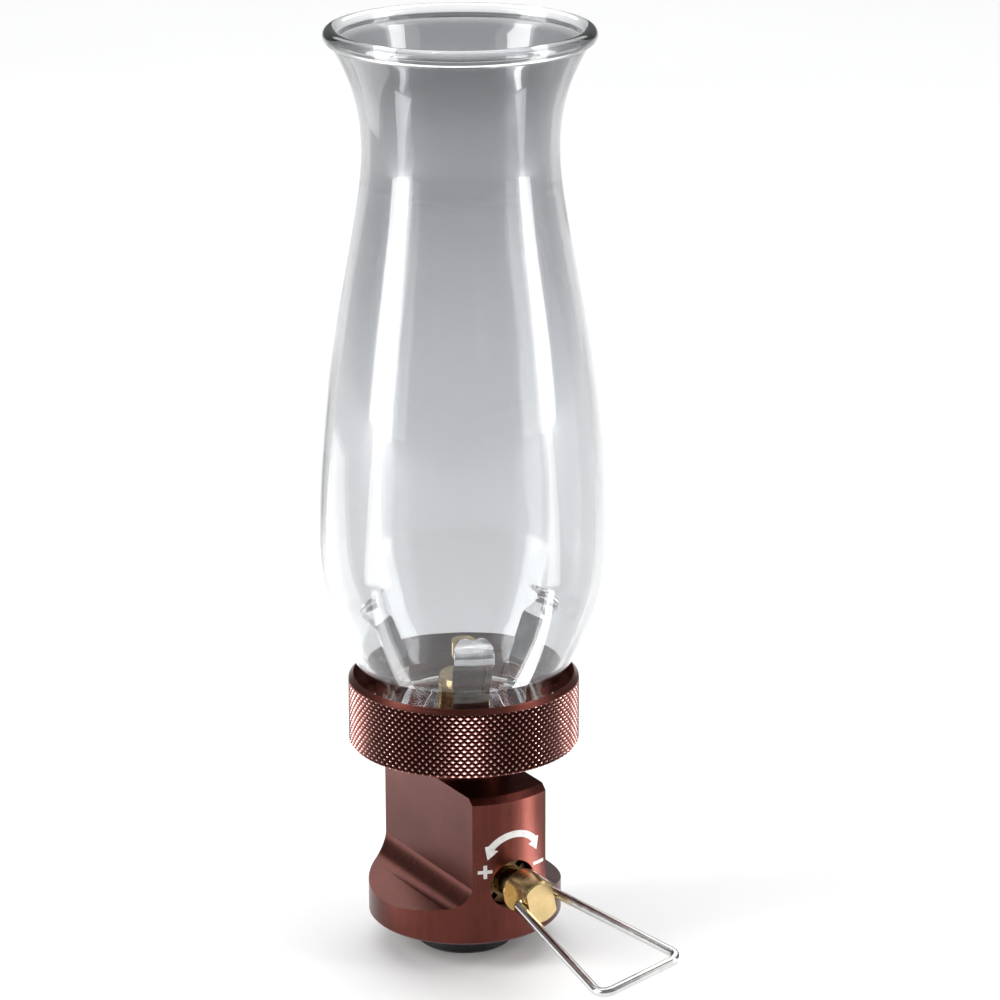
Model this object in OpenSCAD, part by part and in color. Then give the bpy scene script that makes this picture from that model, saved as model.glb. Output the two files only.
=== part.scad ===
// Screw-on gas candle lantern: valve block, knurled cup, burner, spring clips and lift-off glass.
// Millimetres. +Z is up, the valve and its wire handle point along -Y,
// and the origin is the centre of the gas connector's lower face.

/* [Gas connector] */
// Outer radius of the black connector
connector_r = 9.2; // [8:0.1:10]
// Height of the connector that shows below the flange
connector_h = 5.65; // [5:0.05:7]
// Wall radius of the 7/16-28 thread that screws on the canister
thread_r = 5.2; // [5:0.05:5.4]
// Length of the threaded wall
thread_len = 5; // [4.5:0.1:5]

/* [Valve body] */
// Radius of the flange and of the block's curved faces
body_r = 18; // [17:0.1:19]
// Half of the width across the block's two flats
flat_x = 7.8; // [7.5:0.1:8.5]
// Height of the block's top face
body_top = 34.2; // [33:0.1:36]
// Height of the flange's outer edge
flange_edge_z = 11.1; // [10.5:0.1:11.5]
// Radius of the coves between the flats and the flange
cove_r = 5; // [4.5:0.1:5.5]
// Height of the coves' axes
cove_z = 17.6; // [17:0.1:18.5]

/* [Valve] */
// Height of the valve's axis
valve_z = 16.7; // [16.5:0.1:17]
// Radius of the counterbore round the spindle
valve_bore_r = 4.7; // [4.6:0.05:4.8]
// Radius of the spindle's knob
knob_r = 4.05; // [3.8:0.05:4.2]
// Distance from the lantern's axis to the back of the knob
knob_back = 20.4; // [20:0.1:21]
// Distance from the lantern's axis to the front of the knob
knob_front = 27.7; // [27.5:0.1:28.5]
// Half of the width across the knob's flats
knob_flat = 2.7; // [2.5:0.05:2.7]
// Angle that the knob is turned to, with the valve shut
handle_roll = 11.9; // [0:0.1:20]

/* [Wire handle] */
// Diameter of the wire
wire_d = 1.75; // [1.6:0.05:1.8]
// Distance from the lantern's axis to the handle's cross hole
pivot_s = 24.75; // [24.5:0.05:25]
// Length of the handle from its cross hole to its crossbar
handle_len = 35.8; // [30:0.1:40]
// Half of the handle's width at the cross hole
handle_w0 = 3.5; // [3.5:0.05:3.7]
// Half of the handle's width at the crossbar
handle_w1 = 8.5; // [7:0.1:10]
// Angle that the handle droops below the horizontal
handle_droop = 2.9; // [0:0.1:5]
// Bend radius at the crossbar's corners
corner_r = 2.1; // [1.8:0.1:3]

/* [Cup] */
// Outer radius of the knurled cup
cup_r = 21.3; // [21:0.1:22]
// Inner radius of the cup's rim
cup_inner_r = 20.3; // [20:0.1:20.5]
// Height of the cup's lower edge
cup_bottom = 39.7; // [39:0.1:40]
// Height of the cup's upper edge
cup_top = 52.8; // [52:0.1:54]
// Height of the cup's floor
floor_z = 46; // [45.5:0.1:46.2]
// Thickness of the cup's floor
floor_t = 2.5; // [2:0.1:3]
// Number of air holes between two clips
holes_per_gap = 3; // [1:1:3]

/* [Glass] */
// Greatest outer radius of the glass
glass_r = 26.1; // [25.5:0.1:27]
// Outer radius at the waist below the mouth
waist_r = 17.56; // [17:0.02:18]
// Thickness of the glass wall
glass_wall = 1.7; // [1.5:0.1:1.8]
// Radius of the mouth's rolled bead, at its middle
bead_ring_r = 22.69; // [22.5:0.01:22.9]
// Height of the mouth's rolled bead
bead_z = 171.17; // [171:0.01:171.5]

/* [Clips] */
// Thickness of the spring sheet
sheet_t = 0.4; // [0.3:0.05:0.5]
// Width of a clip
clip_w = 7; // [6:0.1:7.5]
// Direction of the first clip
clip_angle = 5.3; // [0:0.1:10]

/* [Hidden] */
$fn = 96;
eps = 0.01;

// Colours
anodised = [0.46, 0.22, 0.19];
black = [0.07, 0.07, 0.08];
brass = [0.83, 0.65, 0.33];
steel = [0.78, 0.79, 0.80];
rubber = [0.12, 0.12, 0.12];
bronze = [0.55, 0.38, 0.22];
fibre = [0.85, 0.83, 0.78];
glass = [0.88, 0.95, 0.93, 0.35];

// Inside the connector and its socket
socket_r = 7.6;
socket_top = 12.6;
spigot_r = 7.5;
spigot_top = 12.2;
relief_r = 5.45;
lip_z = 7.5;
lip_r = 3.4;
lip_t = 0.5;
pocket_r = 4.6;
seal_h = 1.9;
pin_tip_z = 5.2;
pin_r = 1;
pin_flange_h = 1.15;
cup_fit = 0.05;
seal_z = lip_z + lip_t + cup_fit;
pin_flange_z = seal_z + seal_h + cup_fit;
filter_z = pin_flange_z + pin_flange_h + cup_fit;

// Inside the valve, as distances from the lantern's axis
seat_in = 1.9;
seat_out = 3.6;
chamber_r = 3;
chamber_out = 7.5;
gland_thread_r = 3.4;
gland_step = 12;
gland_front = 15.2;
stem_r = 2.6;
stem_bore_r = 2.7;
screw_r = 1.94;
screw_bore_r = 2;
spindle_tip = 6.5;
groove_s = 12.4;
groove_w = 1.4;
groove_r = 1.9;
inlet_s = 5;
inlet_r = 0.8;
outlet_r = 0.8;
riser_r = 1.2;
hole_clear = 0.06;

// Neck and burner
post_socket_r = 5;
post_socket_z = 26;
post_r = 8.5;
post_top = 50;
post_thread_r = 3.2;
burner_r = 4.8;
burner_top = 52.5;
tip_r = 2.3;
tip_top = 59;
tip_shank_r = 1.65;
washer_t = 0.5;
burner_z = floor_z + sheet_t + washer_t;

function bezier(a, b, c, d, t) =
    pow(1 - t, 3) * a + 3 * t * pow(1 - t, 2) * b + 3 * t * t * (1 - t) * c + pow(t, 3) * d;
function curve(p, n) = [for (i = [0:n]) bezier(p[0], p[1], p[2], p[3], i / n)];
function slope(p, t) = bezier(p[0], p[1], p[2], p[3], t + 0.001) - bezier(p[0], p[1], p[2], p[3], t - 0.001);
// Points of a curve moved to its left, towards the axis of the glass
function inner_curve(p, n, wall) = [
    for (i = [0:n])
        let (s = slope(p, i / n), u = s / norm(s))
            bezier(p[0], p[1], p[2], p[3], i / n) + wall * [-u[1], u[0]]
];
function reversed(list) = [for (i = [len(list) - 1:-1:0]) list[i]];
function drop_first(list) = [for (i = [1:len(list) - 1]) list[i]];

// Turns a drawing so that its z axis is the valve's axis, pointing out of the front face
module on_valve(s = 0, roll = 0) {
    translate([0, -s, valve_z]) rotate([90, 0, 0]) rotate([0, 0, roll]) children();
}

// A ring of round section
module o_ring(ring_r, cord_r) {
    rotate_extrude() translate([ring_r, 0]) circle(cord_r, $fn = 24);
}

// A tube between two heights
module tube(outer, inner, z0, z1) {
    difference() {
        translate([0, 0, z0]) cylinder(r = outer, h = z1 - z0);
        translate([0, 0, z0 - 1]) cylinder(r = inner, h = z1 - z0 + 2);
    }
}

// ---- Gas inlet ----

module gas_connector() {
    chamfer = 0.4;
    color(black) difference() {
        union() {
            translate([0, 0, chamfer]) cylinder(r = connector_r, h = connector_h - chamfer);
            cylinder(r1 = connector_r - chamfer, r2 = connector_r, h = chamfer);
            cylinder(r = spigot_r, h = spigot_top);
        }
        translate([0, 0, -1]) cylinder(r = thread_r, h = thread_len + 1);
        translate([0, 0, thread_len]) cylinder(r = relief_r, h = lip_z - thread_len);
        translate([0, 0, lip_z - 1]) cylinder(r = lip_r, h = 2);
        translate([0, 0, lip_z + lip_t]) cylinder(r = pocket_r, h = spigot_top);
        // Groove for the ring that seals the connector in the body
        translate([0, 0, 9.9]) difference() {
            cylinder(r = spigot_r + 1, h = 1.3);
            translate([0, 0, -1]) cylinder(r = 6.45, h = 4);
        }
    }
}

module connector_o_ring() {
    color(rubber) translate([0, 0, 10.55]) o_ring(7.02, 0.54);
}

module canister_seal() {
    color(rubber) tube(pocket_r - cup_fit, 2.2, seal_z, seal_z + seal_h);
}

module depressor_pin() {
    color(brass) difference() {
        union() {
            translate([0, 0, pin_flange_z]) cylinder(r = pocket_r - cup_fit, h = pin_flange_h);
            translate([0, 0, pin_tip_z + 0.3]) cylinder(r = pin_r, h = pin_flange_z - pin_tip_z);
            translate([0, 0, pin_tip_z]) cylinder(r1 = pin_r - 0.3, r2 = pin_r, h = 0.3);
        }
        // Gas ways round the pin
        for (a = [0:90:270]) rotate([0, 0, a]) translate([1.65, 0, pin_flange_z - 1]) cylinder(r = 0.5, h = 4, $fn = 24);
    }
}

module gas_filter() {
    color(bronze) translate([0, 0, filter_z]) cylinder(r = pocket_r - cup_fit, h = spigot_top - filter_z);
}

// ---- Valve body ----

// Outline of the block seen along the valve's axis: a slab with two flats, on a sloping flange with coves.
// Each cove cuts a little way into its flat and into the slope, so that they meet at creases.
module body_outline() {
    over = 1;
    bite = 0.1;
    dip = 0.05;
    cove_x = flat_x + cove_r - bite;
    rim = [body_r, flange_edge_z];
    to_cove = [cove_x, cove_z] - rim;
    slope_angle = atan2(to_cove[1], to_cove[0]) + asin((cove_r - dip) / norm(to_cove));
    inward = [cos(slope_angle), sin(slope_angle)];
    foot = rim + (to_cove * inward) * inward;
    outer = rim - over * inward;
    half = [[outer[0], connector_h - over], outer, foot, [foot[0], cove_z]];
    translate([-flat_x, connector_h - over]) square([2 * flat_x, body_top - connector_h + 2 * over]);
    difference() {
        polygon(concat(half, reversed([for (p = half) [-p[0], p[1]]])));
        for (side = [-1, 1]) translate([side * cove_x, cove_z]) circle(cove_r);
    }
}

module valve_body() {
    top_chamfer = 1.1;
    foot_chamfer = 0.4;
    color(anodised) difference() {
        intersection() {
            rotate([90, 0, 0]) linear_extrude(height = 2 * body_r + 4, center = true) body_outline();
            rotate_extrude($fn = 128) polygon([
                [0, connector_h], [body_r - foot_chamfer, connector_h], [body_r, connector_h + foot_chamfer],
                [body_r, body_top - top_chamfer], [body_r - top_chamfer, body_top], [0, body_top]
            ]);
        }
        // Socket for the connector
        translate([0, 0, connector_h - 1]) cylinder(r = socket_r, h = socket_top - connector_h + 1);
        // Gas inlet to the valve chamber
        translate([0, -inlet_s, socket_top - 1]) cylinder(r = inlet_r, h = valve_z - socket_top, $fn = 24);
        // Valve chamber, gland thread and counterbore
        on_valve(seat_in) cylinder(r = chamber_r, h = body_r);
        on_valve(chamber_out) cylinder(r = gland_thread_r, h = body_r);
        on_valve(gland_step) cylinder(r = valve_bore_r, h = body_r);
        // Way from the seat to the riser, and the riser
        on_valve(-1.2) cylinder(r = outlet_r, h = 4, $fn = 24);
        translate([0, 0, valve_z]) cylinder(r = riser_r, h = body_top, $fn = 24);
        translate([0, 0, post_socket_z]) cylinder(r = post_socket_r, h = body_top);
    }
}

// ---- Valve ----

module valve_seat() {
    color(brass) on_valve() tube(chamber_r - 0.03, outlet_r, seat_in, seat_out);
}

module valve_cone() {
    color(brass) on_valve() {
        translate([0, 0, 2.9]) cylinder(r1 = 0.35, r2 = 1.5, h = 2);
        translate([0, 0, 4.9]) cylinder(r = 1.5, h = 0.6);
        translate([0, 0, 5.5]) cylinder(r = 0.92, h = 2.3);
    }
}

module cone_pad() {
    color(rubber) on_valve() tube(1.75, 0.95, 5.55, 6.4);
}

module valve_spindle() {
    chamfer = 0.35;
    flat_start = knob_back + 0.8;
    color(brass) difference() {
        union() {
            on_valve(knob_back) cylinder(r1 = knob_r - chamfer, r2 = knob_r, h = chamfer);
            on_valve(knob_back + chamfer) cylinder(r = knob_r, h = knob_front - knob_back - 2 * chamfer);
            on_valve(knob_front - chamfer) cylinder(r1 = knob_r, r2 = knob_r - chamfer, h = chamfer);
            on_valve(gland_step) cylinder(r = stem_r, h = knob_back - gland_step + eps);
            on_valve(spindle_tip) cylinder(r = screw_r, h = gland_step - spindle_tip + eps);
        }
        // Socket in which the valve cone swivels
        on_valve(spindle_tip - 1) cylinder(r = 0.97, h = 2.5, $fn = 32);
        // Groove for the ring
        on_valve(groove_s) difference() {
            cylinder(r = stem_r + 1, h = groove_w);
            translate([0, 0, -1]) cylinder(r = groove_r, h = groove_w + 2);
        }
        // Flats beside the handle's legs, and its cross hole
        for (side = [0, 180]) on_valve(flat_start, handle_roll + side)
            translate([knob_flat, -knob_r, 0]) cube([knob_r, 2 * knob_r, knob_front]);
        on_valve(pivot_s, handle_roll) rotate([0, 90, 0])
            cylinder(r = wire_d / 2 + hole_clear, h = 3 * knob_r, center = true);
    }
}

module spindle_o_ring() {
    color(rubber) on_valve(groove_s + groove_w / 2) o_ring(2.29, 0.37);
}

module gland_nut() {
    nut_r = valve_bore_r - 0.08;
    color(brass) difference() {
        union() {
            on_valve(chamber_out + 0.4) cylinder(r = gland_thread_r - 0.05, h = gland_step - chamber_out);
            on_valve(gland_step + 0.05) cylinder(r = nut_r, h = gland_front - gland_step - 0.35);
            on_valve(gland_front - 0.3) cylinder(r1 = nut_r, r2 = nut_r - 0.3, h = 0.3);
        }
        on_valve() cylinder(r = screw_bore_r, h = body_r);
        on_valve(gland_step - 1) cylinder(r = stem_bore_r, h = body_r);
        // Slots for a pin spanner
        on_valve(gland_front - 1.2) for (a = [45, 225]) rotate([0, 0, a])
            translate([stem_bore_r + 0.5, -0.6, 0]) cube([3, 1.2, 3]);
        // Groove for the ring that seals the nut in the body
        on_valve(8.4) difference() {
            cylinder(r = gland_thread_r + 1, h = 1.1);
            translate([0, 0, -1]) cylinder(r = 2.55, h = 4);
        }
    }
}

module gland_o_ring() {
    color(rubber) on_valve(8.95) o_ring(2.97, 0.4);
}

// ---- Wire handle ----

// A straight length of wire between two points of the handle's plane, with each end a little way
// inside the slightly fatter bend that it runs into
module wire_run(a, b) {
    d = b - a;
    into = 0.04;
    translate([a[0], 0, a[1]]) rotate([0, atan2(d[0], d[1]), 0]) translate([0, 0, -into])
        cylinder(r = wire_d / 2, h = norm(d) + 2 * into, $fn = 32);
}

// A bend about a centre in the handle's plane, from one angle by a turn
module wire_bend(centre, bend_r, start, turn) {
    swell = 0.01;
    translate([centre[0], 0, centre[1]]) rotate([90, 0, 0]) rotate([0, 0, start])
        rotate_extrude(angle = turn, $fn = 64) translate([bend_r, 0]) circle(wire_d / 2 + swell, $fn = 32);
}

// Half of the handle: pin in the cross hole, bend, leg, corner and half of the crossbar
module handle_half() {
    bend_r = 1.1;
    splay = atan((handle_w1 - handle_w0) / handle_len);
    along = [sin(splay), cos(splay)];
    out = [cos(splay), -sin(splay)];
    pin_end = [handle_w0 - bend_r * tan((90 - splay) / 2), 0];
    bend_c = pin_end + [0, bend_r];
    leg_start = bend_c + bend_r * out;
    corner_turn = 90 + splay;
    corner = [handle_w1, handle_len];
    leg_end = corner - corner_r * tan(corner_turn / 2) * along;
    corner_c = leg_end - corner_r * out;
    wire_run([0.7, 0], pin_end);
    wire_bend(bend_c, bend_r, -90, 90 - splay);
    wire_run(leg_start, leg_end);
    wire_bend(corner_c, corner_r, -splay, corner_turn);
    wire_run([corner_c[0], handle_len], [0, handle_len]);
}

module wire_handle() {
    color(steel) on_valve(pivot_s, handle_roll) rotate([handle_droop, 0, 0]) union() {
        handle_half();
        mirror([1, 0, 0]) handle_half();
    }
}

// ---- Neck and cup ----

module neck_post() {
    color(black) difference() {
        union() {
            translate([0, 0, post_socket_z + 0.5]) cylinder(r = post_socket_r - 0.05, h = body_top - post_socket_z);
            translate([0, 0, body_top]) cylinder(r = post_r, h = floor_z - floor_t - body_top);
            translate([0, 0, body_top]) cylinder(r = post_thread_r, h = post_top - body_top);
        }
        translate([0, 0, post_socket_z - 1]) cylinder(r = riser_r, h = post_top, $fn = 24);
        // Groove for the ring that seals the post in the body
        translate([0, 0, 28]) difference() {
            cylinder(r = post_socket_r + 1, h = 1.3);
            translate([0, 0, -1]) cylinder(r = 3.95, h = 4);
        }
    }
}

module neck_o_ring() {
    color(rubber) translate([0, 0, 28.65]) o_ring(4.46, 0.5);
}

module knurled_cup() {
    chamfer = 0.9;
    skirt_r = 19.4;
    hole_ring_r = 11.3;
    hole_r = 1.6;
    spread = 22;
    color(anodised) difference() {
        rotate_extrude($fn = 128) polygon([
            [post_thread_r + 0.1, floor_z - floor_t], [skirt_r, floor_z - floor_t], [skirt_r, cup_bottom],
            [cup_r - 0.4, cup_bottom], [cup_r, cup_bottom + 0.4], [cup_r, cup_top - chamfer],
            [cup_r - chamfer, cup_top], [cup_inner_r, cup_top], [cup_inner_r, floor_z],
            [post_thread_r + 0.1, floor_z]
        ]);
        // Air holes between the clips
        for (gap = [60:120:300], i = [0:holes_per_gap - 1])
            rotate([0, 0, clip_angle + gap + (i - (holes_per_gap - 1) / 2) * spread])
                translate([hole_ring_r, 0, floor_z - floor_t - 1]) cylinder(r = hole_r, h = floor_t + 2, $fn = 32);
    }
}

// ---- Spring clips ----

// Middle line of a clip, as distance from the axis and height
clip_path = [
    [5, floor_z + 0.2], [11.7, floor_z + 0.2], [12.5, 46.7], [13.1, 47.9], [13.2, 49.3], [13, 51.5], [14.3, 54.8],
    [16.4, 59.2], [17.3, 60], [18.9, 60.7], [19.9, 61.4], [20.3, 62.3], [20.1, 63.2], [19.3, 64],
    [18.3, 64.7], [17.4, 65.6]
];

// Direction of the middle line at one of its points
function path_dir(p, i) =
    let (d = p[min(i + 1, len(p) - 1)] - p[max(i - 1, 0)]) d / norm(d);
function path_side(p, offset) = [for (i = [0:len(p) - 1]) let (d = path_dir(p, i)) p[i] + offset * [-d[1], d[0]]];

module clip_arm() {
    difference() {
        rotate([90, 0, 0]) linear_extrude(height = clip_w, center = true)
            polygon(concat(path_side(clip_path, sheet_t / 2), reversed(path_side(clip_path, -sheet_t / 2))));
        // Notch between the two lobes of the tip
        translate([17.1, 0, 60]) cylinder(r = 0.8, h = 10, $fn = 32);
    }
}

module spring_clips() {
    color(steel) difference() {
        union() {
            translate([0, 0, floor_z]) cylinder(r = 7.6, h = sheet_t);
            for (a = [0:120:240]) rotate([0, 0, clip_angle + a]) clip_arm();
        }
        translate([0, 0, floor_z - 1]) cylinder(r = post_thread_r + 0.1, h = 3);
    }
}

module clip_washer() {
    color(steel) tube(5.6, post_thread_r + 0.1, floor_z + sheet_t, burner_z);
}

// ---- Burner ----

module burner_body() {
    color(brass) difference() {
        union() {
            translate([0, 0, burner_z]) cylinder(r = burner_r, h = 51.2 - burner_z);
            translate([0, 0, 51.2]) cylinder(r1 = burner_r, r2 = burner_r - 0.35, h = burner_top - 51.2);
        }
        translate([0, 0, burner_z - 1]) cylinder(r = post_thread_r + 0.05, h = 50.6 - burner_z + 1);
        translate([0, 0, 50]) cylinder(r = tip_shank_r + 0.03, h = 4);
    }
}

module jet_filter() {
    color(bronze) translate([0, 0, post_top + 0.05]) cylinder(r = post_thread_r - 0.1, h = 0.5);
}

module burner_tip() {
    stem = 1.45;
    bore = 1;
    color(brass) rotate_extrude() polygon([
        [bore, 50.7], [tip_shank_r, 50.7], [tip_shank_r, burner_top], [stem, burner_top], [stem, 54.6],
        [tip_r, 56], [tip_r, tip_top - 0.2], [tip_r - 0.2, tip_top], [1.5, tip_top], [bore, tip_top - 0.5]
    ]);
}

module gas_jet() {
    color(brass) tube(0.97, 0.2, tip_top - 1.4, tip_top - 0.6);
}

// ---- Glass ----

module glass_gasket() {
    color(fibre) tube(17.2, 14.2, floor_z, floor_z + 0.6);
}

// Outer line of the glass in four smooth curves, from its foot to its mouth
foot_r = 16.2;
foot_z = floor_z + 0.65;
bead_r = 1.47;
shoulder = [[foot_r, 47.8], [foot_r, 50.4], [18.4, 52.6], [20.22, 56]];
lower_bulge = [[20.22, 56], [25.66, 67], [glass_r, 75], [glass_r, 81.5]];
upper_bulge = [[glass_r, 81.5], [glass_r, 111.5], [waist_r, 137.7], [waist_r, 151]];
mouth = [[waist_r, 151], [waist_r, 161.5], [21.7, 167.5], [22.75, 169.7]];

module glass_chimney() {
    outside = concat(
        curve(shoulder, 4), drop_first(curve(lower_bulge, 5)),
        drop_first(curve(upper_bulge, 7)), drop_first(curve(mouth, 5))
    );
    inside = concat(
        inner_curve(shoulder, 4, glass_wall), drop_first(inner_curve(lower_bulge, 5, glass_wall)),
        drop_first(inner_curve(upper_bulge, 7, glass_wall)), drop_first(inner_curve(mouth, 4, glass_wall))
    );
    bead = [for (a = [-60:30:210]) [bead_ring_r + bead_r * cos(a), bead_z + bead_r * sin(a)]];
    color(glass) rotate_extrude() polygon(concat(
        [[foot_r - glass_wall, foot_z], [foot_r - 0.3, foot_z], [foot_r, foot_z + 0.3]],
        outside, bead, reversed(inside)
    ));
}

gas_connector();
connector_o_ring();
canister_seal();
depressor_pin();
gas_filter();
valve_body();
valve_seat();
valve_cone();
cone_pad();
valve_spindle();
spindle_o_ring();
gland_nut();
gland_o_ring();
wire_handle();
neck_post();
neck_o_ring();
knurled_cup();
spring_clips();
clip_washer();
glass_gasket();
burner_body();
jet_filter();
burner_tip();
gas_jet();
glass_chimney();
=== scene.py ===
import math

import bmesh
import bpy
from mathutils import Matrix, Vector
from mathutils.geometry import interpolate_bezier


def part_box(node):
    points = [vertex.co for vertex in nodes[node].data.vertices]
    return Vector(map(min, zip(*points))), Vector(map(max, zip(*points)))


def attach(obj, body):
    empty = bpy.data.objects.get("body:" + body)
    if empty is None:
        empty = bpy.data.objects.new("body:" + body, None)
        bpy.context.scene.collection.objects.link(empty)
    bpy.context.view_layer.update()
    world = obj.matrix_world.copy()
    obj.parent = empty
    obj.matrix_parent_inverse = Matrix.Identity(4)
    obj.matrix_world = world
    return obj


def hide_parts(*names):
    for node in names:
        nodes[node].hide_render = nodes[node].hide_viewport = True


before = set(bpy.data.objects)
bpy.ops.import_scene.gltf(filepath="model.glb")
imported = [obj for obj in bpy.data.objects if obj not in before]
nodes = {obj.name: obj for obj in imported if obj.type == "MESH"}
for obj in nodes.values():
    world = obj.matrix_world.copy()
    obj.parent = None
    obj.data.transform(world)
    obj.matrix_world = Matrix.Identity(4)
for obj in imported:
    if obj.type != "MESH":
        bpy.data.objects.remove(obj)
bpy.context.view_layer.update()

MM = 0.001
VALVE_Z = 16.7
CLIP_ANGLE = 5.3
SHEET_T = 0.4
KNURL_DEPTH = 0.45
KNURLS = 96
MARK_REACH = 7.2


def box_mm(node):
    """Lowest and highest corner of a CAD node, in millimetres."""
    low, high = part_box(node)
    return low / MM, high / MM


# ---------------------------------------------------------------- materials


class Shader:
    """A material with its Principled shader and short ways to add nodes to it."""

    def __init__(self, name, colour, metallic=0.0, roughness=0.5):
        self.material = bpy.data.materials.new(name)
        self.material.use_nodes = True
        self.tree = self.material.node_tree
        self.out = self.tree.nodes["Material Output"]
        self.bsdf = self.tree.nodes["Principled BSDF"]
        self.set("Base Color", (*colour, 1))
        self.set("Metallic", metallic)
        self.set("Roughness", roughness)
        self.place = self.node("ShaderNodeTexCoord").outputs["Object"]

    def node(self, kind, **settings):
        made = self.tree.nodes.new(kind)
        for key, value in settings.items():
            setattr(made, key, value)
        return made

    def link(self, a, b):
        self.tree.links.new(a, b)

    def set(self, socket, value):
        self.bsdf.inputs[socket].default_value = value

    def stretched(self, scale):
        """Object coordinates multiplied by a scale for each axis."""
        mapping = self.node("ShaderNodeMapping")
        mapping.inputs["Scale"].default_value = scale
        self.link(self.place, mapping.inputs["Vector"])
        return mapping.outputs["Vector"]

    def noise(self, scale, detail=3.0, roughness=0.6, distortion=0.0):
        """Noise whose size is set by a scale for each axis, per metre."""
        noise = self.node("ShaderNodeTexNoise")
        noise.inputs["Scale"].default_value = 1.0
        noise.inputs["Detail"].default_value = detail
        noise.inputs["Roughness"].default_value = roughness
        noise.inputs["Distortion"].default_value = distortion
        self.link(self.stretched(scale), noise.inputs["Vector"])
        return noise.outputs["Fac"]

    def ramp(self, factor, *stops):
        """Colours (r, g, b) at positions along a factor."""
        ramp = self.node("ShaderNodeValToRGB")
        elements = ramp.color_ramp.elements
        while len(elements) < len(stops):
            elements.new(0.5)
        for element, (position, colour) in zip(elements, stops):
            element.position = position
            element.color = (*colour, 1)
        self.link(factor, ramp.inputs["Fac"])
        return ramp.outputs["Color"]

    def fit(self, factor, low, high, to_low, to_high):
        """A factor moved from one range to another."""
        fit = self.node("ShaderNodeMapRange")
        for name, value in zip(("From Min", "From Max", "To Min", "To Max"), (low, high, to_low, to_high)):
            fit.inputs[name].default_value = value
        self.link(factor, fit.inputs["Value"])
        return fit.outputs["Result"]

    def sum(self, a, b):
        add = self.node("ShaderNodeMath", operation="ADD")
        self.link(a, add.inputs[0])
        self.link(b, add.inputs[1])
        return add.outputs[0]

    def times(self, a, number):
        product = self.node("ShaderNodeMath", operation="MULTIPLY")
        self.link(a, product.inputs[0])
        product.inputs[1].default_value = number
        return product.outputs[0]

    def colour(self, socket):
        self.link(socket, self.bsdf.inputs["Base Color"])

    def rough(self, socket):
        self.link(socket, self.bsdf.inputs["Roughness"])

    def bump(self, height, depth, strength=1.0):
        """A height from 0 to 1 turned into a relief of that depth, in millimetres."""
        bump = self.node("ShaderNodeBump")
        bump.inputs["Strength"].default_value = strength
        bump.inputs["Distance"].default_value = depth * MM
        self.link(height, bump.inputs["Height"])
        self.link(bump.outputs["Normal"], self.bsdf.inputs["Normal"])


def anodised(name, line_scale, rough_low=0.24, rough_high=0.38, light=1.0):
    """Red-brown anodised aluminium: fine machining lines, blasted grain and faint cloudy dye."""
    deep = [c * light for c in (0.084, 0.025, 0.020)]
    pale = [c * light for c in (0.130, 0.039, 0.030)]
    s = Shader(name, pale, metallic=1.0, roughness=0.36)
    cloud = s.noise((120, 120, 120), detail=4)
    grain = s.noise((5200, 5200, 5200), detail=2)
    lines = s.noise(line_scale, detail=3, roughness=0.7)
    s.colour(s.ramp(s.sum(s.times(cloud, 0.55), s.times(lines, 0.45)), (0.3, deep), (0.7, pale)))
    s.rough(s.fit(s.sum(s.times(grain, 0.5), s.times(lines, 0.5)), 0.3, 0.7, rough_low, rough_high))
    s.bump(s.sum(s.times(grain, 0.6), s.times(lines, 0.7)), 0.006)
    return s.material


def knurled():
    """The cup's dye on the knurl, with painted shade darkening the roots between the teeth, and the crests
    paler and smoother, partly from wear and partly as a painted highlight.
    """
    low, high = box_mm("knurled_cup")
    crest_r = high.x * MM
    s = Shader("knurled_anodised", (0.3, 0.13, 0.11), metallic=1.0, roughness=0.25)
    split = s.node("ShaderNodeSeparateXYZ")
    s.link(s.place, split.inputs[0])
    flat = s.node("ShaderNodeCombineXYZ")
    s.link(split.outputs["X"], flat.inputs["X"])
    s.link(split.outputs["Y"], flat.inputs["Y"])
    length = s.node("ShaderNodeVectorMath", operation="LENGTH")
    s.link(flat.outputs[0], length.inputs[0])
    height = s.fit(length.outputs["Value"], crest_r - KNURL_DEPTH * MM, crest_r, 0, 1)
    crest_wear_and_groove_shade = s.sum(s.times(height, 0.85), s.times(s.noise((900, 900, 900), detail=4), 0.3))
    # Painted shade: the roots are near black; the pale crest colour is partly wear and partly a painted
    # highlight.
    root, flank, crest = (0.05, 0.014, 0.012), (0.20, 0.075, 0.062), (0.88, 0.62, 0.58)
    s.colour(s.ramp(crest_wear_and_groove_shade, (0.3, root), (0.72, flank), (1.0, crest)))
    s.rough(s.fit(crest_wear_and_groove_shade, 0.2, 1.0, 0.34, 0.14))
    s.bump(s.noise((4200, 4200, 4200), detail=2), 0.004)
    return s.material


def brass(name, line_scale, colour=(0.74, 0.55, 0.27), tarnish=0.72):
    """Turned brass with fine tool lines, a faint tarnish and a slightly uneven shine."""
    dull = [c * tarnish for c in colour]
    s = Shader(name, colour, metallic=1.0, roughness=0.22)
    lines = s.noise(line_scale, detail=3, roughness=0.7)
    cloud = s.noise((420, 420, 420), detail=4)
    s.colour(s.ramp(s.sum(s.times(cloud, 0.6), s.times(lines, 0.4)), (0.32, dull), (0.62, colour)))
    s.rough(s.fit(s.sum(s.times(lines, 0.5), s.times(cloud, 0.5)), 0.3, 0.7, 0.15, 0.32))
    s.bump(lines, 0.008)
    return s.material


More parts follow.
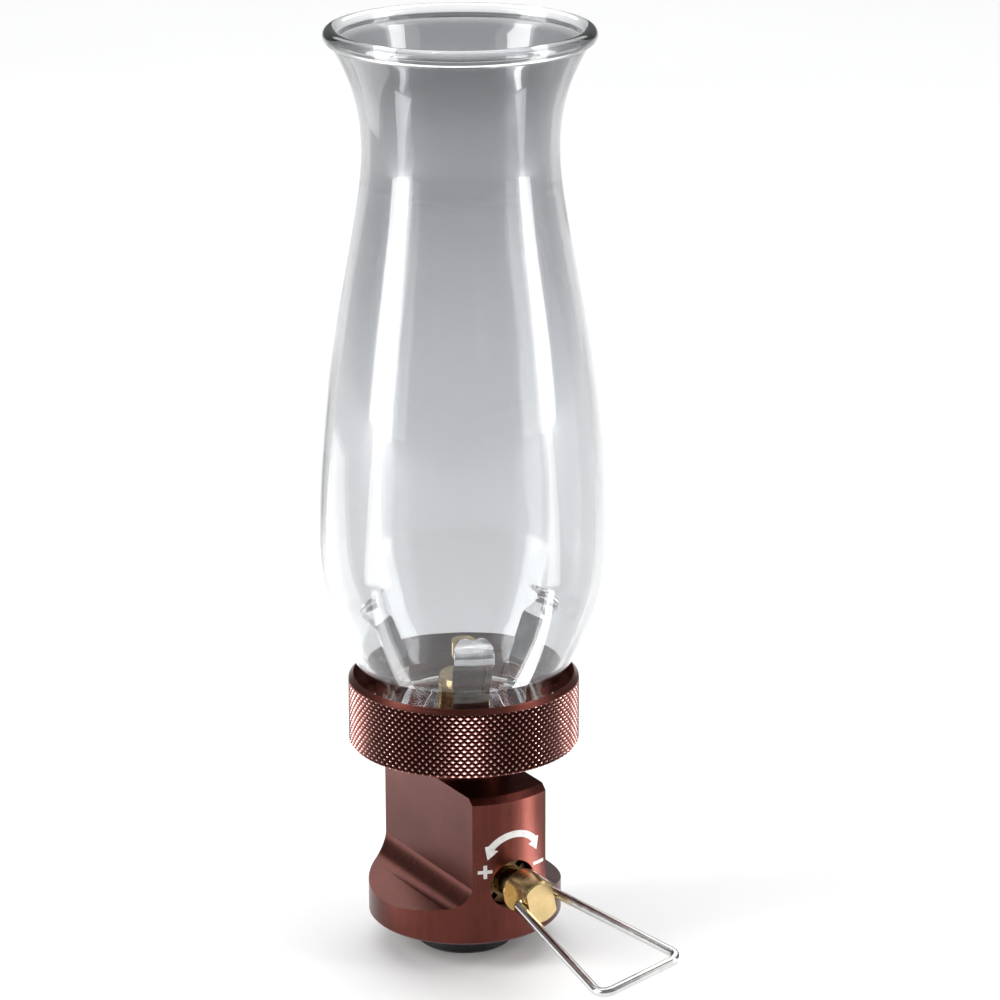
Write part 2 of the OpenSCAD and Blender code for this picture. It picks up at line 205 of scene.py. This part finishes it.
def steel(name, line_scale, colour=(0.80, 0.80, 0.80), rough=(0.08, 0.22)):
    """Bright stainless steel with drawing lines and handling marks."""
    dark = [c * 0.8 for c in colour]
    s = Shader(name, colour, metallic=1.0, roughness=rough[0])
    lines = s.noise(line_scale, detail=4, roughness=0.7)
    marks = s.noise((650, 650, 650), detail=4)
    s.colour(s.ramp(s.sum(s.times(lines, 0.5), s.times(marks, 0.5)), (0.35, dark), (0.6, colour)))
    s.rough(s.fit(s.sum(s.times(lines, 0.4), s.times(marks, 0.6)), 0.3, 0.7, *rough))
    s.bump(s.sum(s.times(lines, 0.6), s.times(marks, 0.4)), 0.004)
    return s.material


def moulded(name, colour, rough=(0.32, 0.48), grain=1800, depth=0.012):
    """Moulded plastic, rubber or fibre with a fine grain."""
    pale = [min(1, c * 1.5 + 0.004) for c in colour]
    s = Shader(name, colour, roughness=rough[0])
    cloud = s.noise((300, 300, 300), detail=4)
    fine = s.noise((grain, grain, grain), detail=3)
    s.colour(s.ramp(s.sum(s.times(cloud, 0.5), s.times(fine, 0.5)), (0.35, colour), (0.7, pale)))
    s.rough(s.fit(fine, 0.3, 0.7, *rough))
    s.bump(fine, depth)
    return s.material


def sintered():
    """Pressed bronze grains with pores between them, the pores darkened with painted shade."""
    s = Shader("sintered_bronze", (0.4, 0.24, 0.12), metallic=0.9, roughness=0.55)
    cells = s.node("ShaderNodeTexVoronoi")
    cells.inputs["Scale"].default_value = 4200
    s.link(s.place, cells.inputs["Vector"])
    distance = cells.outputs["Distance"]
    # Painted shade: the colour darkens away from each grain's centre into the sunken pores.
    s.colour(s.ramp(distance, (0.1, (0.52, 0.33, 0.17)), (0.7, (0.12, 0.06, 0.03))))
    s.rough(s.fit(distance, 0, 0.8, 0.4, 0.8))
    s.bump(distance, -0.06)
    return s.material


def blown_glass():
    """Clear hand-blown glass, faintly wavy and green in its thick edges, with painted grey shade that deepens
    towards the mouth and a painted highlight on the rolled bead.
    Lamps shine through it, so that what stands inside is lit."""
    low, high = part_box("glass_chimney")
    s = Shader("blown_glass", (1, 1, 1), roughness=0.0)
    s.set("Transmission Weight", 1.0)
    s.set("IOR", 1.47)
    split = s.node("ShaderNodeSeparateXYZ")
    s.link(s.place, split.inputs[0])
    up = s.fit(split.outputs["Z"], low.z, high.z, 0, 1)
    # Painted shade: the base colour darkens from pale grey at the foot to deep grey near the mouth, standing
    # in for a dim surround, and turns pale again on the rolled bead as a painted highlight.
    s.colour(s.ramp(up, (0.0, (0.735, 0.74, 0.75)), (0.3, (0.70, 0.705, 0.715)), (0.46, (0.695, 0.70, 0.715)),
                    (0.7, (0.605, 0.61, 0.625)), (0.88, (0.45, 0.455, 0.47)), (0.95, (0.31, 0.315, 0.33)),
                    (0.972, (0.31, 0.315, 0.33)), (0.985, (0.86, 0.865, 0.87))))
    s.set("Coat Weight", 0.4)
    s.set("Coat Roughness", 0.12)
    fold_z = low.z + 0.78 * (high.z - low.z)
    fold = s.node("ShaderNodeMath", operation="PINGPONG")
    fold.inputs[1].default_value = 1.0
    s.link(s.fit(split.outputs["Z"], fold_z - 0.8 * MM, fold_z + 0.8 * MM, 0, 2), fold.inputs[0])
    wave = s.noise((70, 70, 22), detail=1.5, roughness=0.4)
    s.bump(s.sum(s.times(wave, 1.0), s.times(fold.outputs[0], 0.05)), 0.30)
    see = s.node("ShaderNodeBsdfTransparent")
    see.inputs["Color"].default_value = (0.90, 0.92, 0.92, 1)
    mix = s.node("ShaderNodeMixShader")
    s.link(s.node("ShaderNodeLightPath").outputs["Is Shadow Ray"], mix.inputs["Fac"])
    s.link(s.bsdf.outputs["BSDF"], mix.inputs[1])
    s.link(see.outputs["BSDF"], mix.inputs[2])
    s.link(mix.outputs["Shader"], s.out.inputs["Surface"])
    tint = s.node("ShaderNodeVolumeAbsorption")
    tint.inputs["Color"].default_value = (0.76, 0.92, 0.95, 1)
    tint.inputs["Density"].default_value = 16
    s.link(tint.outputs["Volume"], s.out.inputs["Volume"])
    return s.material


def print_ink():
    """Pale printed ink, a little thin and worn in places."""
    s = Shader("print_ink", (0.62, 0.61, 0.60), roughness=0.5)
    worn = s.noise((1500, 1500, 1500), detail=5)
    s.colour(s.ramp(worn, (0.25, (0.45, 0.41, 0.40)), (0.5, (0.62, 0.61, 0.60))))
    s.bump(worn, 0.01)
    return s.material


def paint(obj, material):
    """Gives an object one material."""
    obj.data.materials.clear()
    obj.data.materials.append(material)
    return obj


# ---------------------------------------------------------------- mesh helpers


def solid(name, points, faces, smooth_angle=40):
    """A mesh object from points in millimetres, smooth except across sharp edges."""
    mesh = bpy.data.meshes.new(name)
    mesh.from_pydata([Vector(p) * MM for p in points], [], faces)
    b = bmesh.new()
    b.from_mesh(mesh)
    bmesh.ops.remove_doubles(b, verts=b.verts, dist=1e-7)
    bmesh.ops.recalc_face_normals(b, faces=b.faces)
    b.to_mesh(mesh)
    b.free()
    mesh.shade_smooth()
    mesh.set_sharp_from_angle(angle=math.radians(smooth_angle))
    obj = bpy.data.objects.new(name, mesh)
    bpy.context.scene.collection.objects.link(obj)
    return obj


def lathe(name, outline, segments=192, smooth_angle=40):
    """A ring turned about the lantern's axis from a closed outline of (radius, height)."""
    points, faces = [], []
    count = len(outline)
    for i in range(segments):
        a = 2 * math.pi * i / segments
        points += [(r * math.cos(a), r * math.sin(a), z) for r, z in outline]
    for i in range(segments):
        here, there = i * count, (i + 1) % segments * count
        for j in range(count):
            k = (j + 1) % count
            faces.append((here + j, there + j, there + k, here + k))
    return solid(name, points, faces, smooth_angle)


def polar(r, angle, z):
    return (r * math.cos(angle), r * math.sin(angle), z)


def bezier(points, count):
    """Points of one Bezier curve of (radius, height) handles."""
    flat = [Vector((r, 0, z)) for r, z in points]
    return [Vector((p.x, p.z)) for p in interpolate_bezier(*flat, count)]


def spline(points, per_span):
    """A smooth line through 2D points."""
    path = [Vector(p) for p in points]
    path = [2 * path[0] - path[1]] + path + [2 * path[-1] - path[-2]]
    line = []
    for a, b, c, d in zip(path, path[1:], path[2:], path[3:]):
        for i in range(per_span):
            t = i / per_span
            line.append(0.5 * (2 * b + (c - a) * t + (2 * a - 5 * b + 4 * c - d) * t ** 2
                               + (3 * b - a - 3 * c + d) * t ** 3))
    return line + [path[-2]]


# ---------------------------------------------------------------- glass


def glass():
    """The blown chimney: one even wall that swells, narrows, flares and ends in a rolled bead."""
    low, high = box_mm("glass_chimney")
    widest, foot_z = high.x, low.z
    wall, foot_r, waist_r = 1.7, 16.2, 17.56
    bead_r, bead_ring_r = 1.47, 22.69
    bead_z = high.z - bead_r
    curves = (
        ((foot_r, 47.8), (foot_r, 50.4), (18.4, 52.6), (20.22, 56)),
        ((20.22, 56), (25.66, 67), (widest, 75), (widest, 81.5)),
        ((widest, 81.5), (widest, 111.5), (waist_r, 137.7), (waist_r, 151)),
        ((waist_r, 151), (waist_r, 161.5), (21.7, 167.5), (22.75, 169.7)),
    )
    outer = []
    for handles in curves:
        outer += bezier(handles, 26)[bool(outer):]
    inner = []
    for i, p in enumerate(outer):
        along = (outer[min(i + 1, len(outer) - 1)] - outer[max(i - 1, 0)]).normalized()
        inner.append(p + wall * Vector((-along.y, along.x)))
    start, stop, steps = -60, 210, 27
    bead = []
    for i in range(steps + 1):
        a = math.radians(start + (stop - start) * i / steps)
        bead.append(Vector((bead_ring_r + bead_r * math.cos(a), bead_z + bead_r * math.sin(a))))
    foot = [Vector((foot_r - wall, foot_z + 0.3)), Vector((foot_r - wall + 0.1, foot_z + 0.08)),
            Vector((foot_r - wall + 0.35, foot_z)), Vector((foot_r - 0.45, foot_z)),
            Vector((foot_r - 0.12, foot_z + 0.12)), Vector((foot_r, foot_z + 0.5))]
    inner = inner[:-2]
    obj = lathe("glass_tube", foot + outer + bead + inner[::-1], segments=256, smooth_angle=60)
    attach(paint(obj, blown_glass()), "glass_chimney")
    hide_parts("glass_chimney")


# ---------------------------------------------------------------- cup


def cup():
    """The cup's turned shell with its air holes, and the knurled band round it."""
    low, high = box_mm("knurled_cup")
    rim_r, top, bottom = high.x, high.z, low.z
    floor_z = box_mm("glass_gasket")[0].z
    root_r = rim_r - KNURL_DEPTH
    inner_r, skirt_r, bore_r, floor_t, bevel = 20.3, 19.4, 3.3, 2.5, 0.12
    under_z = floor_z - floor_t
    knurl_low, knurl_high = bottom + 0.3, top - 1.0
    shell = lathe("cup_shell", [
        (bore_r, under_z), (skirt_r - bevel, under_z), (skirt_r, under_z - bevel),
        (skirt_r, bottom + bevel), (skirt_r + bevel, bottom), (root_r - bevel, bottom),
        (root_r, knurl_low - 0.08), (root_r - 0.2, knurl_low), (root_r - 0.2, knurl_high),
        (rim_r - 0.16, knurl_high), (rim_r - 0.08, knurl_high + 0.12), (rim_r - 0.8, top - bevel),
        (rim_r - 0.9, top), (inner_r + 0.04, top), (inner_r, top - 0.06), (inner_r, floor_z + 0.5),
        (inner_r - 0.15, floor_z + 0.15), (inner_r - 0.5, floor_z), (bore_r, floor_z),
    ], smooth_angle=25)
    drill_air_holes(shell, floor_z - floor_t / 2)
    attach(paint(shell, anodised("cup_anodised", (60, 60, 2600), 0.24, 0.36, light=1.35)), "lantern")
    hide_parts("knurled_cup")
    band = knurl_band(rim_r, root_r, knurl_low, knurl_high)
    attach(paint(band, knurled()), "lantern")


def drill_air_holes(shell, z):
    """Cuts three air holes between each two clips."""
    ring_r, hole_r, spread, sides = 11.3, 1.6, 22, 32
    points, faces = [], []
    for gap in (60, 180, 300):
        for step in (-1, 0, 1):
            centre = Vector(polar(ring_r, math.radians(CLIP_ANGLE + gap + step * spread), z))
            start = len(points)
            for end in (-3, 3):
                points += [centre + Vector(polar(hole_r, 2 * math.pi * i / sides, end)) for i in range(sides)]
            faces.append(tuple(start + i for i in range(sides)))
            faces.append(tuple(start + sides + i for i in range(sides)))
            for i in range(sides):
                j = (i + 1) % sides
                faces.append((start + i, start + j, start + sides + j, start + sides + i))
    cutter = solid("air_hole_cutter", points, faces)
    cut = shell.modifiers.new("air_holes", "BOOLEAN")
    cut.object = cutter
    cut.solver = "EXACT"
    drilled = bpy.data.meshes.new_from_object(shell.evaluated_get(bpy.context.evaluated_depsgraph_get()))
    shell.modifiers.clear()
    shell.data = drilled
    shell.data.set_sharp_from_angle(angle=math.radians(25))
    bpy.data.objects.remove(cutter)


def knurl_band(crest_r, root_r, low, high):
    """Rows of four-sided teeth with blunt tips, staggered by half a tooth, on a closed ring."""
    rows = 17
    around = 2 * KNURLS
    tip = 0.16
    tip_r = crest_r - 0.25 * tip * KNURL_DEPTH
    step_z = (high - low) / rows
    points, faces = [], []

    def spot(i, j, r):
        return Vector((2 * math.pi * i / around, low + j * step_z, r))

    def add(*corners):
        start = len(points)
        points.extend(polar(c[2], c[0], c[1]) for c in corners)
        faces.append(tuple(range(start, start + len(corners))))

    for j in range(rows + 1):
        for i in range(around):
            if (i + j) % 2 == 0:
                continue
            centre = spot(i, j, tip_r)
            turns = ((1, 0), (0, 1), (-1, 0), (0, -1))
            corners = [spot(i + di, j + dj, root_r) for di, dj in turns]
            inside = [0 <= j + dj <= rows for di, dj in turns]
            rings = [centre.lerp(c, tip) for c in corners]
            for ring in rings:
                ring[2] = tip_r
            kept = [k for k in range(4) if inside[k]]
            add(*[rings[k] for k in kept])
            for k in range(4):
                m = (k + 1) % 4
                if inside[k] and inside[m]:
                    add(rings[k], corners[k], corners[m], rings[m])
    back_r = root_r - 0.3
    for i in range(around):
        a, b = i, i + 1
        add(spot(a, 0, back_r), spot(b, 0, back_r), spot(b, rows, back_r), spot(a, rows, back_r))
        for j in (0, rows):
            if (i + j) % 2 == 0:
                low_end, tooth = (spot(a, j, root_r), spot(b, j, tip_r))
                near = tooth.lerp(low_end, tip)
                near[2] = tip_r
                add(spot(a, j, back_r), low_end, near, tooth, spot(b, j, back_r))
            else:
                tooth, low_end = (spot(a, j, tip_r), spot(b, j, root_r))
                near = tooth.lerp(low_end, tip)
                near[2] = tip_r
                add(spot(a, j, back_r), tooth, near, low_end, spot(b, j, back_r))
    return solid("cup_knurl", points, faces, smooth_angle=12)


# ---------------------------------------------------------------- spring clips

# Middle line of a clip, as distance from the axis and height: foot, leg, then hook
CLIP_PATH = [
    (7.4, 46.2), (11.7, 46.2), (12.5, 46.7), (13.1, 47.9), (13.2, 49.3), (13, 51.5), (14.3, 54.8),
    (16.4, 59.2), (17.3, 60), (18.9, 60.7), (19.9, 61.4), (20.3, 62.3), (20.1, 63.2), (19.3, 64),
    (18.3, 64.7), (17.4, 65.6),
]


def clip_half_width(height):
    """Half of a clip's width: waisted at the glass's foot and full at its hook."""
    full, waist, waist_z, reach = 3.5, 0.35, 52.5, 3.0
    return full - waist * math.exp(-((height - waist_z) / reach) ** 2)


def clip_arm(angle):
    """One bent strip with a dished hook that ends in two lobes."""
    line = spline(CLIP_PATH, 6)
    travel = [0.0]
    for a, b in zip(line, line[1:]):
        travel.append(travel[-1] + (b - a).length)
    across, along = 28, 110
    notch, corner, dish = 0.7, 2.0, 0.35

    def at(s):
        k = max(i for i in range(len(travel)) if travel[i] <= s + 1e-9)
        k = min(k, len(travel) - 2)
        t = (s - travel[k]) / (travel[k + 1] - travel[k])
        return line[k].lerp(line[k + 1], min(t, 1)), (line[k + 1] - line[k]).normalized()

    points, faces = [], []
    for j in range(along + 1):
        for i in range(across + 1):
            t = 2 * i / across - 1
            end = travel[-1] - notch * math.exp(-(t / 0.24) ** 2) - corner * abs(t) ** 4
            place, way = at(end * j / along)
            hooked = min(max((place.y - 58) / 4, 0), 1)
            side = Vector((-way.y, way.x)) * dish * hooked * (t * t)
            points.append((place.x + side.x, clip_half_width(place.y) * t, place.y + side.y))
    for j in range(along):
        for i in range(across):
            a = j * (across + 1) + i
            faces.append((a, a + 1, a + across + 2, a + across + 1))
    obj = solid(f"spring_clip_{angle}", points, faces, smooth_angle=60)
    obj.data.transform(Matrix.Rotation(math.radians(CLIP_ANGLE + angle), 4, "Z"))
    sheet = obj.modifiers.new("sheet", "SOLIDIFY")
    sheet.thickness = SHEET_T * MM
    sheet.offset = 0
    edge = obj.modifiers.new("edge", "BEVEL")
    edge.width = 0.1 * MM
    edge.segments = 2
    edge.limit_method = "ANGLE"
    edge.angle_limit = math.radians(50)
    return obj


def clips():
    """Three clips on one disc, stamped and bent from spring steel."""
    polished = steel("spring_steel", (260, 260, 900), rough=(0.06, 0.16))
    floor_z = box_mm("glass_gasket")[0].z
    top_z = floor_z + SHEET_T
    disc_r, bore_r, bevel = 7.6, 3.3, 0.08
    disc = lathe("clip_disc", [
        (bore_r, floor_z), (disc_r - bevel, floor_z), (disc_r, floor_z + bevel), (disc_r, top_z - bevel),
        (disc_r - bevel, top_z), (bore_r, top_z),
    ], segments=96, smooth_angle=30)
    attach(paint(disc, polished), "lantern")
    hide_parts("spring_clips")
    for angle in (0, 120, 240):
        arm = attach(paint(clip_arm(angle), polished), "lantern")


# ---------------------------------------------------------------- wire handle


def wire_handle():
    """The sprung wire bail, bent from one length with both ends in the knob's cross hole."""
    pivot, roll, droop = 24.75, 11.9, 2.9
    length, half_0, half_1, bend_r, corner_r, wire_r = 35.8, 3.5, 8.5, 1.1, 2.1, 0.875
    splay = math.atan((half_1 - half_0) / length)
    along = Vector((math.sin(splay), math.cos(splay)))
    out = Vector((math.cos(splay), -math.sin(splay)))
    pin_end = Vector((half_0 - bend_r * math.tan((math.pi / 2 - splay) / 2), 0))
    bend = pin_end + Vector((0, bend_r))
    corner_turn = math.pi / 2 + splay
    leg_end = Vector((half_1, length)) - corner_r * math.tan(corner_turn / 2) * along
    corner = leg_end - corner_r * out

    def arc(centre, r, start, turn, steps):
        angles = [start + turn * i / steps for i in range(steps + 1)]
        return [centre + r * Vector((math.cos(a), math.sin(a))) for a in angles]

    half = [Vector((0.7, 0))]
    half += arc(bend, bend_r, -math.pi / 2, math.pi / 2 - splay, 12)
    half += arc(corner, corner_r, -splay, corner_turn, 16)
    line = half + [Vector((-p.x, p.y)) for p in reversed(half)]
    place = (Matrix.Translation(Vector((0, -pivot, VALVE_Z)) * MM) @ Matrix.Rotation(math.radians(90), 4, "X")
             @ Matrix.Rotation(math.radians(roll), 4, "Z") @ Matrix.Rotation(math.radians(droop), 4, "X"))
    curve = bpy.data.curves.new("wire_bail", "CURVE")
    curve.dimensions = "3D"
    curve.bevel_depth = wire_r * MM
    curve.bevel_resolution = 8
    curve.use_fill_caps = True
    path = curve.splines.new("POLY")
    path.points.add(len(line) - 1)
    for point, p in zip(path.points, line):
        point.co = (*(place @ (Vector((p.x, 0, p.y)) * MM)), 1)
    path.use_smooth = True
    obj = bpy.data.objects.new("wire_bail", curve)
    bpy.context.scene.collection.objects.link(obj)
    drawn = steel("drawn_wire", (900, 120, 900), colour=(0.72, 0.71, 0.70), rough=(0.10, 0.24))
    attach(paint(obj, drawn), "wire_handle")
    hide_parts("wire_handle")


# ---------------------------------------------------------------- printed marks


def mark(name, shapes, ink):
    """A thin printed shape on the block's round front, drawn flat as polygons of (across, height)."""
    front_r = box_mm("valve_body")[1].x
    proud, sunk, strip = 0.03, 0.02, 0.4
    b = bmesh.new()
    for shape in shapes:
        b.faces.new([b.verts.new((x, z, 0)) for x, z in shape])
    bmesh.ops.remove_doubles(b, verts=b.verts, dist=1e-4)
    cuts = round(2 * MARK_REACH / strip)
    for i in range(cuts + 1):
        bmesh.ops.bisect_plane(b, geom=b.verts[:] + b.edges[:] + b.faces[:], dist=1e-5,
                               plane_co=(i * strip - MARK_REACH, 0, 0), plane_no=(1, 0, 0))
    b.verts.index_update()
    flat = [(v.co.x, v.co.y) for v in b.verts]
    faces = [tuple(v.index for v in f.verts) for f in b.faces]
    edges = [(e.verts[0].index, e.verts[1].index) for e in b.edges if e.is_boundary]
    b.free()

    def wrap(p, r):
        angle = math.asin(p[0] / front_r)
        return (r * math.sin(angle), -r * math.cos(angle), p[1])

    count = len(flat)
    points = [wrap(p, front_r + proud) for p in flat] + [wrap(p, front_r - sunk) for p in flat]
    sides = [(i, j, j + count, i + count) for i, j in edges]
    backs = [tuple(i + count for i in reversed(f)) for f in faces]
    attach(paint(solid(name, points, faces + backs + sides), ink), "lantern")


def bar(centre, width, height):
    """A rectangle as a polygon."""
    x, z = centre
    w, h = width / 2, height / 2
    return [(x - w, z - h), (x + w, z - h), (x + w, z + h), (x - w, z + h)]


def marks():
    """A curved double arrow over the valve, with a plus and a minus at its ends."""
    ink = print_ink()
    mid_r, thick, sweep, steps = 5.95, 1.3, 49, 28
    centre = Vector((0, VALVE_Z + 4.0))

    def on_arc(i, r):
        a = math.radians(sweep * (2 * i / steps - 1))
        return tuple(centre + r * Vector((math.sin(a), math.cos(a))))

    inner, outer = mid_r - thick / 2, mid_r + thick / 2
    arrow = []
    for i in range(steps):
        arrow.append([on_arc(i, inner), on_arc(i + 1, inner), on_arc(i + 1, outer), on_arc(i, outer)])
    for side, end in ((-1, 0), (1, steps)):
        head = [(side * x, VALVE_Z + z) for x, z in ((5.65, 8.25), (5.2, 5.6), (3.2, 7.2))]
        arrow.append([on_arc(end, outer), *head, on_arc(end, inner)])
    mark("turn_arrow", arrow, ink)
    arm, thin, x, z = 2.6, 0.66, -5.6, 20.0
    reach = (arm - thin) / 2
    ends = [bar((x, z + side * (thin + reach) / 2), thin, reach) for side in (-1, 1)]
    sides = [bar((x + side * (thin + reach) / 2, z), reach, thin) for side in (-1, 1)]
    mark("plus_mark", [bar((x, z), thin, thin), *ends, *sides], ink)
    mark("minus_mark", [bar((5.7, 19.65), 2.7, 0.66)], ink)


# ---------------------------------------------------------------- CAD nodes that keep their shape


def finish_cad_nodes():
    """Materials for the CAD nodes that are shown as they are."""
    turned = (50, 50, 2400)
    along_valve = (60, 2400, 60)
    rubber = moulded("nitrile_rubber", (0.012, 0.012, 0.012), rough=(0.5, 0.7))
    fibre = moulded("pressed_fibre", (0.55, 0.53, 0.48), rough=(0.7, 0.9), grain=2500, depth=0.05)
    plastic = moulded("black_plastic", (0.004, 0.004, 0.005), rough=(0.16, 0.3))
    upright_brass = brass("turned_brass", turned)
    valve_brass = brass("valve_brass", along_valve)
    porous = sintered()
    looks = {
        "gas_connector": plastic,
        "valve_body": anodised("block_anodised", (900, 2600, 60)),
        "neck_post": anodised("neck_anodised", turned, 0.35, 0.5, light=0.8),
        "clip_washer": steel("washer_steel", (300, 300, 300)),
        "glass_gasket": fibre,
    }
    looks.update({n: rubber for n in ("connector_o_ring", "canister_seal", "cone_pad", "spindle_o_ring",
                                      "gland_o_ring", "neck_o_ring")})
    looks.update({n: porous for n in ("gas_filter", "jet_filter")})
    looks.update({n: upright_brass for n in ("depressor_pin", "burner_body", "burner_tip", "gas_jet")})
    looks.update({n: valve_brass for n in ("valve_seat", "valve_cone", "valve_spindle")})
    # Painted shade: the brass gland nut is coloured near black, with a low tarnish factor, to stand for the
    # shade deep in the bore round the spindle.
    looks["gland_nut"] = brass("gland_brass_painted_shade", along_valve, colour=(0.13, 0.08, 0.04), tarnish=0.3)
    for name, material in looks.items():
        paint(nodes[name], material)


# ---------------------------------------------------------------- studio


def look_along(obj, forward, roll=0.0):
    """Points an object's -Z along a direction, with its Y up."""
    turn = Vector(forward).normalized().to_track_quat("-Z", "Y").to_matrix().to_4x4()
    obj.matrix_world = Matrix.Translation(obj.location) @ turn @ Matrix.Rotation(roll, 4, "Z")


VIEW = Vector((0.4866, 0.8195, -0.3029))


def camera():
    data = bpy.data.cameras.new("camera")
    data.lens = 140.0
    data.sensor_width = 36.0
    obj = bpy.data.objects.new("camera", data)
    bpy.context.scene.collection.objects.link(obj)
    obj.location = (-0.3377, -0.5820, 0.2995)
    look_along(obj, VIEW, roll=-0.0026)
    bpy.context.scene.camera = obj


def softbox(name, turn, distance, height, size, radiance, aim_z):
    """A soft area lamp at an angle in degrees to the right of the camera, aimed at the lantern."""
    to_camera = Vector((-VIEW.x, -VIEW.y, 0)).normalized()
    right = Vector((VIEW.y, -VIEW.x, 0)).normalized()
    a = math.radians(turn)
    data = bpy.data.lights.new(name, "AREA")
    data.shape = "RECTANGLE"
    data.size, data.size_y = size
    data.energy = radiance * math.pi * size[0] * size[1]
    obj = bpy.data.objects.new(name, data)
    bpy.context.scene.collection.objects.link(obj)
    obj.location = (to_camera * math.cos(a) + right * math.sin(a)) * distance + Vector((0, 0, height))
    look_along(obj, Vector((0, 0, aim_z)) - obj.location)
    obj.visible_camera = False


def studio():
    """Pale floor and surround, a tall strip lamp with a wide glow on each side, low lamps that carry
    the strips' reflections down the lantern, and a wide top lamp."""
    softbox("strip_left", -71, 1.0, 0.35, (0.46, 1.1), 8.0, 0.10)
    softbox("strip_right", 77, 1.0, 0.35, (0.30, 1.1), 7.5, 0.10)
    softbox("glow_left", -66, 1.15, 0.40, (0.9, 1.4), 1.0, 0.10)
    softbox("glow_right", 70, 1.15, 0.40, (0.8, 1.4), 1.0, 0.10)
    softbox("low_left", -70, 0.36, 0.06, (0.06, 0.42), 3.2, 1.6)
    softbox("low_right", 74, 0.36, 0.06, (0.04, 0.42), 2.8, 1.6)
    softbox("near_left", -72, 0.095, 0.006, (0.016, 0.12), 3.5, 3.0)
    softbox("near_right", 73, 0.095, 0.006, (0.016, 0.12), 8.5, 3.0)
    softbox("behind_left", -118, 0.24, 0.012, (0.14, 0.30), 1.1, 3.0)
    softbox("top", 180, 1.1, 1.9, (2.8, 2.8), 2.0, 0.0)
    world = bpy.data.worlds.new("surround")
    world.use_nodes = True
    world.node_tree.nodes["Background"].inputs["Color"].default_value = (0.97, 0.985, 1.0, 1)
    world.node_tree.nodes["Background"].inputs["Strength"].default_value = 0.22
    bpy.context.scene.world = world
    reach = 6.0
    mesh = bpy.data.meshes.new("floor")
    corners = [(x * reach, y * reach, 0) for x, y in ((-1, -1), (1, -1), (1, 1), (-1, 1))]
    mesh.from_pydata(corners, [], [(0, 1, 2, 3)])
    floor = bpy.data.objects.new("floor", mesh)
    bpy.context.scene.collection.objects.link(floor)
    s = Shader("pale_floor", (0.86, 0.86, 0.86), roughness=0.6)
    s.colour(s.ramp(s.noise((6, 6, 6), detail=2), (0.3, (0.85, 0.85, 0.85)), (0.7, (0.87, 0.87, 0.87))))
    paint(floor, s.material)
    bpy.context.scene.view_settings.view_transform = "Standard"


camera()
studio()
glass()
cup()
clips()
wire_handle()
marks()
finish_cad_nodes()
